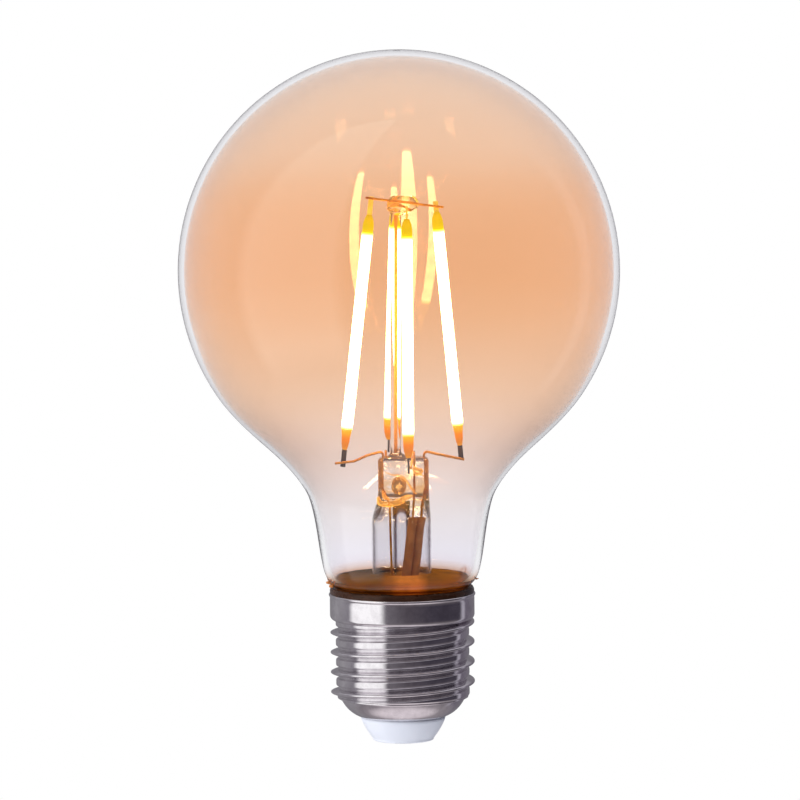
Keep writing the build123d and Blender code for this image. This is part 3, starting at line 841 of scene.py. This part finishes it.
def bend(points, steps=7):
    """A smooth run through a few points."""
    run = []
    for i in range(len(points) - 1):
        before, a = Vector(points[max(i - 1, 0)]), Vector(points[i])
        b, after = Vector(points[i + 1]), Vector(points[min(i + 2, len(points) - 1)])
        for k in range(steps):
            t = k / steps
            run.append(0.5 * (2 * a + (b - before) * t + (2 * before - 5 * a + 4 * b - after) * t**2
                              + (3 * a - before - 3 * b + after) * t**3))
    return run + [Vector(points[-1])]


def strand(name, points, radius, depth):
    """A fold of glass inside the press, drawn across and up at one depth and thinned to its ends."""
    run = bend(points)
    sides, flat = 14, 0.7
    rows = []
    for i, spot in enumerate(run):
        along = (run[min(i + 1, len(run) - 1)] - run[max(i - 1, 0)]).normalized()
        r = radius * (0.35 + 0.65 * math.sin(math.pi * i / (len(run) - 1)))
        row = []
        for k in range(sides):
            a = 2 * math.pi * k / sides
            side, out = r * math.cos(a), flat * r * math.sin(a)
            row.append((spot.x - along.y * side, depth + out, spot.y + along.x * side))
        rows.append(row)
    return skin(name, rows)


def exhaust_tube():
    """The pump tube inside the stem, drawn off to a point below."""
    top, shoulder = (EXHAUST_R, EXHAUST_TOP_Z), (EXHAUST_R, EXHAUST_LOW_Z)
    bore_low = (EXHAUST_BORE_R, EXHAUST_LOW_Z + 0.2)
    outer = line(top, shoulder, 6) + line(shoulder, (0.45, 21.2), 6)
    inner = line((0.3, 22.6), bore_low, 6) + line(bore_low, (EXHAUST_BORE_R, EXHAUST_TOP_Z), 6)
    return lathe("exhaust_tube_glass", [top] + outer + inner + [top], count=48,
                 close_start=False, close_end=False)


# Filaments
def on_cage(strip, radius, side):
    """Where a strip's foot or head stands on its circle."""
    turn = math.radians(CAGE_TURN + strip["turn"])
    return Vector((strip[side] + radius * math.cos(turn), radius * math.sin(turn)))


def filament(name):
    """One coated strip, made upright at its own origin and then leant into the cage."""
    strip = STRIPS[name]
    foot = on_cage(strip, FOOT_CIRCLE_R, "foot_x")
    lean = on_cage(strip, HEAD_CIRCLE_R, "head_x") - foot
    rise = math.sqrt(LIT_LENGTH**2 - lean.length**2)
    piece = lathe(f"strip_{name}", strip_outline(strip["foot_r"]), count=32)
    along = Vector((lean.x, lean.y, rise)).normalized()
    turn = Vector((0, 0, 1)).rotation_difference(along).to_matrix().to_4x4()
    place = Vector((foot.x, foot.y, strip["lit_low"])) * MM
    piece.matrix_world = Matrix.Translation(place) @ turn
    return piece


def strip_outline(foot_r):
    """A rounded foot, a straight length and a rounded head."""
    foot, top = -FOOT_COAT, LIT_LENGTH + HEAD_COAT
    foot_round, head_round = 2.4, 2.2
    outline = []
    for i in range(9):
        t = i / 8
        r = COAT_END_R + (foot_r - COAT_END_R) * math.sin(math.pi / 2 * t) ** 0.8
        outline.append((r, foot + foot_round * t))
    outline += line((foot_r, foot + foot_round), (FILAMENT_R, 0.4), 8)
    outline += line((FILAMENT_R, 0.4), (FILAMENT_R, top - head_round), 60)
    for i in range(1, 9):
        t = 1 - i / 8
        r = 0.42 + 0.58 * FILAMENT_R * math.sin(math.pi / 2 * t) ** 0.8
        outline.append((r, top - head_round * t))
    return outline


# Cap
def thread_radius(turn, z):
    """Radius of the rolled thread at an angle and a height: round crest, two grooves, wide full root."""
    u = (z - CREST_Z - PITCH * turn / (2 * math.pi)) / PITCH
    away = abs(u - round(u))
    root = ROOT_FULL_R - GROOVE * math.exp(-(((away - GROOVE_AWAY) / GROOVE_WIDTH) ** 2))
    r = mix(root, CREST_R, 1 - smooth(away, 0.02, 0.20))
    return mix(ROOT_R - 0.1, r, smooth(z, RUNOUT_Z - RUNOUT_HALF, RUNOUT_Z + RUNOUT_HALF))


def thread(low, high):
    """The thread as one spiral whose rows run along the crest, cut level below and above."""
    steps = FINE_COUNT
    across = [-0.5 + i / 40 for i in range(41)]
    first = math.floor((low - CREST_Z) / PITCH) - 1
    last = math.ceil((high - CREST_Z) / PITCH) + 1
    verts, faces = [], []
    for j in range(steps * (last - first) + 1):
        turn = 2 * math.pi * j / steps
        for u in across:
            z = min(high, max(low, CREST_Z + PITCH * (first + j / steps + u)))
            r = thread_radius(turn, z)
            verts.append((r * math.cos(turn) * MM, r * math.sin(turn) * MM, z * MM))
    wide = len(across)
    for j in range(steps * (last - first)):
        for i in range(wide - 1):
            a = j * wide + i
            faces.append((a, a + wide, a + wide + 1, a + 1))
    mesh = bpy.data.meshes.new("thread")
    mesh.from_pydata(verts, [], faces)
    mesh.polygons.foreach_set("use_smooth", [True] * len(faces))
    face_out(mesh)
    piece = bpy.data.objects.new("thread", mesh)
    bpy.context.scene.collection.objects.link(piece)
    return piece


def skirt_outline():
    """The plain skirt: rolled rim, straight side and the round turn in to the thread."""
    outline = [(SKIRT_R - 0.55, RIM_Z - RIM_ROUND), (SKIRT_R - 0.35, RIM_Z - 0.02)]
    outline += arc((SKIRT_R - 0.12, RIM_Z - RIM_ROUND), RIM_ROUND, 90, -60, 8)
    outline += [(SKIRT_R - 0.02, RIM_Z - 0.75)]
    outline += line((SKIRT_R, RIM_Z - 0.9), (SKIRT_R, SKIRT_LOW_Z + SKIRT_ROUND), 10)
    outline += arc((SKIRT_R - SKIRT_ROUND, SKIRT_LOW_Z + SKIRT_ROUND), SKIRT_ROUND, 0, -90, 12)[1:]
    return outline + [(ROOT_R - 0.5, SKIRT_LOW_Z + 0.02)]


def bowl_outline():
    """The bowl below the thread, down to its flat round the insulator."""
    outline = [(ROOT_R - 0.1, BOWL_TOP_Z + 0.2), (ROOT_R - 0.12, BOWL_TOP_Z + 0.16)]
    outline += [(ROOT_R - 0.3, BOWL_TOP_Z + 0.06)]
    outline += arc((BOWL_FLAT_R, BOWL_LOW_Z + BOWL_R), BOWL_R, -21, -90, 28)
    return outline + [(BOWL_FLAT_R - 0.3, BOWL_LOW_Z + 0.1)]


def screw_shell():
    """The rolled shell: plain skirt with its rim above the thread, and the bowl below it."""
    open_ends = {"count": FINE_COUNT, "close_start": False, "close_end": False}
    shell = lathe("cap_shell", skirt_outline(), **open_ends)
    rolled = thread(BOWL_TOP_Z + 0.2, SKIRT_LOW_Z + SKIRT_ROUND)
    join(shell, rolled, lathe("bowl", bowl_outline(), **open_ends))
    return shell


def insulator():
    """The white insulator: a shallow cone with soft corners."""
    outline = [(7.50, 4.58), (7.70, 4.45)]
    for i in range(1, 13):
        t = i / 12
        bulge = INSULATOR_BULGE * math.sin(math.pi * t)
        outline.append((mix(INSULATOR_TOP[0], INSULATOR_LOW[0], t) + bulge,
                        mix(INSULATOR_TOP[1], INSULATOR_LOW[1], t)))
    outline += arc((5.2, 0.6), 0.36, 0, -90, 6)[1:]
    outline += [(4.75, 0.25), (4.74, 0.5)]
    return lathe("insulator_body", outline, close_start=False, close_end=False)


def contact():
    """The domed centre contact."""
    outline = [(4.7, 0.5), (4.7, 0.27), (4.55, 0.15), (4.2, 0.07), (3.6, 0.01), (3.0, 0.0), (1.0, 0.0)]
    return lathe("contact_disc", outline, count=96, close_start=False)


# Cement
def cement():
    """Cement under the flare, round the neck's end and squeezed out over the rim."""
    rows = []
    for k, (r, z) in enumerate(CEMENT_PROFILE):
        squeezed = 1.0 if r > CEMENT_RIM_R else 0.0
        settled = 0.12 if r < CEMENT_SEAL_R else 0.0
        row = []
        for i in range(FINE_COUNT):
            turn = 2 * math.pi * i / FINE_COUNT
            spot = Vector((2.2 * math.cos(turn), 2.2 * math.sin(turn), 0.4 * k))
            lump = noise.noise(spot * 1.6) * 0.5 + noise.noise(spot * 5.0) * 0.25
            out = 1 + 0.006 * lump * squeezed
            row.append((r * math.cos(turn) * out, r * math.sin(turn) * out,
                        z + lump * (0.45 * squeezed + settled)))
        rows.append(row)
    slots = [1 if r < CEMENT_SEAL_R else 0 for r, z in CEMENT_PROFILE]
    return skin("cement_body", rows, close_end=False, slots=slots)


def crumb(number, centre, half):
    """A crumb of cement that was squeezed out past the neck."""
    rows = []
    for i in range(1, 10):
        fall = math.pi * i / 10
        row = []
        for k in range(20):
            a = 2 * math.pi * k / 20
            way = Vector((math.sin(fall) * math.cos(a), math.sin(fall) * math.sin(a), math.cos(fall)))
            lump = 1 + 0.5 * noise.noise(way * 1.7 + Vector((7.0 * number, 0, 0)))
            row.append(tuple(centre[j] + half[j] * way[j] * lump for j in range(3)))
        rows.append(row)
    return skin(f"cement_crumb_{number}", rows)


# Studio
def at(degrees):
    """Where a direction lies on the round ramp: 0 in front, 90 at the right."""
    return (degrees + 180) / 360


def boxes_and_flags(w, x, y, z):
    """What shines sees this: a white box at the left, dark at the right with one light line, softer above."""
    turn = w.maths("ARCTAN2", x, w.maths("MULTIPLY", y, -1.0))
    dark = (0.055, 0.048, 0.066)
    gloss = w.ramp(w.remap(turn, -math.pi, math.pi), [
        (at(-180), (0.22, 0.21, 0.23)),
        (at(-125), (0.34, 0.33, 0.35)),
        (at(-95), (0.25, 0.235, 0.265)),
        (at(-86), (1.25, 1.25, 1.25)),
        (at(-36), (1.25, 1.25, 1.25)),
        (at(-27), (0.17, 0.155, 0.175)),
        (at(10), (0.095, 0.082, 0.098)),
        (at(50), dark),
        (at(106), dark),
        (at(112), (0.46, 0.44, 0.50)),
        (at(117), (0.46, 0.44, 0.50)),
        (at(121), (0.17, 0.15, 0.19)),
        (at(180), (0.22, 0.21, 0.23)),
    ])
    from_below = w.ramp(w.remap(z, -1.0, -0.2), [
        (0.0, (0.92, 0.84, 0.88)),
        (0.12, (0.78, 0.71, 0.74)),
        (0.275, (0.32, 0.29, 0.31)),
        (0.425, (0.27, 0.245, 0.265)),
        (0.625, (0.42, 0.39, 0.41)),
        (1.0, (0.30, 0.27, 0.30)),
    ])
    gloss = w.mix(w.remap(z, -0.12, -0.42), gloss, (0.17, 0.15, 0.165), "LIGHTEN")
    gloss = w.mix(w.remap(z, 0.30, 0.75), gloss, (0.62, 0.60, 0.65), "LIGHTEN")
    return w.mix(w.remap(z, -0.52, -0.70), gloss, from_below)


def through_glass(w, path, x, y, z):
    """White on all four sides for what passes straight through, dark in front for what is thrown back."""
    side_on = w.maths("MAXIMUM", w.maths("ABSOLUTE", x), w.maths("ABSOLUTE", y))
    thrown = w.maths("GREATER_THAN", path["Glossy Depth"], 0.5)
    straight = w.maths("SUBTRACT", 1.0, thrown)
    behind = w.maths("ADD", w.maths("MULTIPLY", side_on, straight), w.maths("MULTIPLY", y, thrown))
    clear = w.ramp(w.remap(behind, -1.0, 1.0), [
        (0.0, (0.10, 0.10, 0.10)),
        (0.25, (0.20, 0.19, 0.20)),
        (0.50, (0.50, 0.48, 0.50)),
        (0.75, (0.92, 0.92, 0.92)),
        (0.90, (1.02, 1.02, 1.02)),
        (0.985, (1.13, 1.13, 1.13)),
    ])
    clear = w.mix(w.remap(z, -0.25, -0.60), clear, (0.10, 0.07, 0.05))
    deep = w.ramp(behind, [
        (0.0, (0.10, 0.07, 0.08)),
        (0.82, (0.11, 0.08, 0.09)),
        (0.90, (0.28, 0.25, 0.28)),
        (0.945, (0.84, 0.82, 0.86)),
        (0.975, (1.13, 1.13, 1.13)),
    ])
    return w.mix(w.maths("GREATER_THAN", path["Transmission Depth"], 4.5), clear, deep)


def world():
    """White behind the bulb, and a studio of soft boxes and flags for what shines."""
    made = bpy.data.worlds.new("studio")
    bpy.context.scene.world = made
    made.use_nodes = True
    made.node_tree.nodes.clear()
    w = Nodes(made.node_tree)
    split = w.node("ShaderNodeSeparateXYZ")
    w.link(w.node("ShaderNodeTexCoord").outputs["Generated"], split.inputs["Vector"])
    x, y, z = (split.outputs[axis] for axis in "XYZ")
    path = w.node("ShaderNodeLightPath").outputs
    around = w.ramp(w.remap(x, -1.0, 1.0), [
        (0.0, (1.66, 1.66, 1.70)),
        (0.42, (1.06, 1.06, 1.08)),
        (0.62, (0.30, 0.30, 0.36)),
        (0.85, (0.05, 0.05, 0.10)),
        (1.0, (0.02, 0.02, 0.05)),
    ])
    inside = w.mix(path["Is Transmission Ray"], around, (1.45, 1.42, 1.40))
    seen = w.mix(path["Is Glossy Ray"], around, boxes_and_flags(w, x, y, z))
    seen = w.mix(path["Is Transmission Ray"], seen, through_glass(w, path, x, y, z))
    seen = w.mix(w.maths("GREATER_THAN", path["Diffuse Depth"], 0.5), seen, inside)
    seen = w.mix(path["Is Camera Ray"], seen, (1.0, 1.0, 1.0))
    background = w.node("ShaderNodeBackground")
    w.link(seen, background.inputs["Color"])
    w.link(background.outputs["Background"], w.node("ShaderNodeOutputWorld").inputs["Surface"])


def floor():
    """A small pale floor well below the bulb, which the photograph shows cut out on white."""
    side, drop = 0.45, -0.14
    corners = [(-side, -side, drop), (side, -side, drop), (side, side, drop), (-side, side, drop)]
    mesh = bpy.data.meshes.new("floor")
    mesh.from_pydata(corners, [], [(0, 1, 2, 3)])
    mesh.materials.append(moulded("floor_white", (0.90, 0.90, 0.90), (0.94, 0.94, 0.94), 0.8, 3.0, 0.2))
    piece = bpy.data.objects.new("floor", mesh)
    bpy.context.scene.collection.objects.link(piece)
    piece.visible_glossy = False
    piece.visible_transmission = False


def lamp(name, place, size, power):
    """A soft box that looks at the bulb's middle."""
    data = bpy.data.lights.new(name, "AREA")
    data.size = size
    data.energy = power
    made = bpy.data.objects.new(name, data)
    made.location = place
    middle = Vector((0, 0, 0.05))
    made.rotation_euler = (middle - Vector(place)).to_track_quat("-Z", "Y").to_euler()
    made.visible_glossy = False
    made.visible_transmission = False
    bpy.context.scene.collection.objects.link(made)


def camera():
    """The photograph's view: a long lens a little above, rolled a little."""
    data = bpy.data.cameras.new("camera")
    data.sensor_width = SENSOR
    data.lens = SENSOR * CAMERA_FAR / (PHOTO_SIDE * PIXEL)
    data.clip_start = 0.1
    made = bpy.data.objects.new("camera", data)
    rise = math.radians(VIEW_RISE)
    back = Vector((0, -math.cos(rise), math.sin(rise)))
    look = back.to_track_quat("Z", "Y").to_matrix().to_4x4()
    centre = Vector(VIEW_CENTRE) * MM
    made.matrix_world = (Matrix.Translation(centre + back * CAMERA_FAR * MM) @ look
                         @ Matrix.Rotation(-math.radians(VIEW_ROLL), 4, "Z"))
    bpy.context.scene.collection.objects.link(made)
    bpy.context.scene.camera = made


dress(globe(), ["glass_envelope"], "globe_glass", clear_glass(), tinted_glass())
pressed = stem_glass()
# The flare's cement stain with painted light and shade.
stained = flare_stain_painted_light()
dress(stem(), ["glass_stem", "support_rod"], "stem_glass", pressed, stained)
# 0.10: strength of the bubble's painted glow.
dress(bubble(), [], "stem_glass", bubble_glass("bubble_glass", 0.10))
dress(painted_rod_light_line(), [], "stem_glass", painted_rod_light_glow())
# 0.32: strength of the folds' painted glow.
folded = bubble_glass("fold_glass", 0.32)
for number, (points, radius, depth) in enumerate(PRESS_FOLDS):
    dress(strand(f"press_fold_{number + 1}", points, radius, depth), [], "stem_glass", folded)
dress(exhaust_tube(), ["exhaust_tube"], "stem_glass", pressed)
glow = strip_glow()
for strip_name in STRIPS:
    dress(filament(strip_name), [f"filament_{strip_name}"], "strip_coat", glow)
dress(screw_shell(), ["screw_shell"], "cap_metal", cap_metal())
dress(insulator(), ["cap_insulator"], "insulator", insulator_plastic())
dress(contact(), ["centre_contact"], "contact_metal", plain_metal("contact_plate", (0.55, 0.47, 0.42), 0.3))
# The cement's middle under the flare takes the stain with painted light and shade.
dress(cement(), ["basing_cement"], "cement", resin(), stained)
crumbly = moulded("crumb_orange", (0.34, 0.10, 0.025), (0.66, 0.27, 0.08), 0.5, 900.0)
for number, (centre, half) in enumerate(CRUMBS):
    dress(crumb(number + 1, centre, half), [], "cement", crumbly)

wire = lit_wire()
tab = tab_metal()
tinned = plain_metal("tinned_copper", (0.72, 0.45, 0.30), 0.3)
solder = plain_metal("solder_bright", (0.66, 0.66, 0.68), 0.22)
sleeve = moulded("sleeve_brown", (0.46, 0.170, 0.036), (0.68, 0.27, 0.068), 0.6)
for node in ("top_wire_side", "top_wire_front", "lead_wire_left", "lead_wire_front", "lead_wire_right",
             "back_jumper_wire"):
    recoat(node, wire)
for strip_name in STRIPS:
    recoat(f"filament_tabs_{strip_name}", tab)
recoat("lead_sleeve_front", sleeve)
recoat("lead_sleeve_right", sleeve)
recoat("driver_board", moulded("board_lacquer", (0.62, 0.66, 0.60), (0.74, 0.77, 0.71), 0.4))
black = moulded("chip_moulding", (0.02, 0.02, 0.022), (0.05, 0.05, 0.055), 0.45)
for node in ("bridge_rectifier", "driver_ic", "chip_resistors"):
    recoat(node, black)
recoat("smoothing_capacitor", plain_metal("can_aluminium", (0.72, 0.73, 0.75), 0.3, 0.1, (1, 1, 8)))
recoat("fuse_resistor", moulded("fuse_lacquer", (0.13, 0.28, 0.20), (0.20, 0.38, 0.28), 0.3))
recoat("live_wire", tinned)
recoat("neutral_wire", tinned)
recoat("solder_joints", solder)

world()
floor()
lamp("key", (-0.9, -0.9, 0.7), 0.7, 5.0)
lamp("fill", (1.0, -0.7, 0.4), 0.8, 0.5)
camera()

scene = bpy.context.scene
scene.view_settings.view_transform = "Standard"
scene.cycles.max_bounces = 24
scene.cycles.transmission_bounces = 20
scene.cycles.glossy_bounces = 10
scene.cycles.sample_clamp_indirect = 12.0
